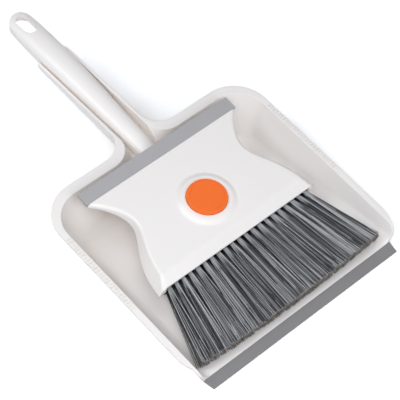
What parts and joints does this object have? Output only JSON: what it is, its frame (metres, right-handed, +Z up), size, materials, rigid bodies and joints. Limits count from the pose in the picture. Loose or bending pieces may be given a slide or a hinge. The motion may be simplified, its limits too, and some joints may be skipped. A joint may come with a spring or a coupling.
{
  "type": "dust pan and brush set",
  "caption": "Hand dust pan with a rubber lip and combed side rims, holding a brush with a round cap, a squeegee blade along its back and a hanging slot in its handle.",
  "frame": {"origin": "middle of the set's footprint box, on the surface that the pan rests on", "axes": "+X across the pan, -Y to the lip, +Y to the handles, +Z up"},
  "size_m": [0.22, 0.3632, 0.0681],
  "materials": {
    "white_plastic": "moulded polypropylene, satin gloss",
    "lip_rubber": "grey thermoplastic rubber, matt",
    "blade_rubber": "light grey thermoplastic rubber, matt",
    "orange_plastic": "moulded ABS, satin",
    "charcoal_plastic": "moulded polypropylene, matt",
    "steel": "zinc-plated steel",
    "bristle_nylon": "drawn nylon filament, grey"
  },
  "bodies": {
    "pan": {"pan_body": "white_plastic", "pan_lip": "lip_rubber"},
    "brush": {"brush_hood": "white_plastic", "brush_handle": "white_plastic", "squeegee_blade": "blade_rubber", "badge_cap": "orange_plastic", "handle_screw": "steel", "tuft_block": "charcoal_plastic", "tuft_block_screws": "steel", "tuft_anchors": "steel", "bristles_upper_row": "bristle_nylon", "bristles_middle_row": "bristle_nylon", "bristles_lower_row": "bristle_nylon"}
  },
  "joints": [
    {"name": "brush_lift", "type": "slide", "parent": "pan", "child": "brush", "axis": [0, -0.1478, 0.989], "range_m": [0, 0.15]}
  ]
}
